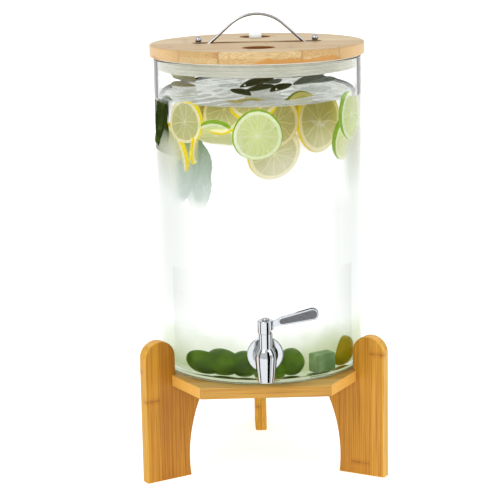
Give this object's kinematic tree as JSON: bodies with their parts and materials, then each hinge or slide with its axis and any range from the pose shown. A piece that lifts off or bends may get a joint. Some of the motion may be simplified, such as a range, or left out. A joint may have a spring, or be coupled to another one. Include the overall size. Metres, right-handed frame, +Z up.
{
  "type": "countertop drink dispenser",
  "caption": "Glass jar drink dispenser with a lever tap, on a three-legged bamboo stand, closed by a bamboo lid with a folding wire handle and a vent stopper.",
  "frame": {"origin": "on the floor, under the jar's axis", "axes": "+Z up, +X to the user's right, +Y away from the user, so the tap points to -Y"},
  "size_m": [0.2438, 0.27, 0.4466],
  "materials": {
    "bamboo_stand": "laminated bamboo, caramel tone, satin lacquer",
    "bamboo_lid": "laminated bamboo, pale natural tone, satin lacquer",
    "clear_glass": "clear soda-lime glass, polished",
    "chrome_tap": "bright chrome plating",
    "chrome_wire": "polished stainless wire and turned posts",
    "screw_steel": "plain stainless steel",
    "brass_valve": "turned brass",
    "black_seal": "black rubber O-ring",
    "grey_grip": "grey textured grip pad",
    "clear_silicone": "milky translucent silicone",
    "white_silicone": "white silicone"
  },
  "bodies": {
    "stand": {"stand_board": "bamboo_stand", "stand_leg_left": "bamboo_stand", "stand_leg_right": "bamboo_stand", "stand_leg_rear": "bamboo_stand", "stand_screws": "screw_steel"},
    "jar": {"glass_jar": "clear_glass", "tap_body": "chrome_tap", "tap_flange": "chrome_tap", "tap_gasket_outer": "clear_silicone", "tap_gasket_inner": "clear_silicone", "tap_washer": "screw_steel", "tap_nut": "screw_steel"},
    "valve": {"tap_lever": "chrome_tap", "tap_lever_inlays": "grey_grip", "lever_screw": "screw_steel", "valve_plug": "brass_valve", "valve_seals": "black_seal"},
    "lid": {"lid_board": "bamboo_lid", "lid_plug": "bamboo_lid", "lid_seal": "clear_silicone", "lid_screws": "screw_steel", "handle_post_left": "chrome_wire", "handle_post_right": "chrome_wire"},
    "handle": {"lid_handle": "chrome_wire"},
    "vent": {"vent_plug": "white_silicone"}
  },
  "joints": [
    {"name": "jar_lift", "type": "slide", "parent": "stand", "child": "jar", "axis": [0, 0, 1], "range_m": [0, 0.05]},
    {"name": "tap_turn", "type": "hinge", "parent": "jar", "child": "valve", "pos_m": [0, -0.125, 0.1365], "axis": [0, 0, 1], "range_deg": [-90, 0]},
    {"name": "lid_lift", "type": "slide", "parent": "jar", "child": "lid", "axis": [0, 0, 1], "range_m": [0, 0.06]},
    {"name": "handle_fold", "type": "hinge", "parent": "lid", "child": "handle", "pos_m": [0, 0, 0.4163], "axis": [1, 0, 0], "range_deg": [-62, 62]},
    {"name": "vent_pull", "type": "slide", "parent": "lid", "child": "vent", "axis": [0, 0, 1], "range_m": [0, 0.03]}
  ]
}
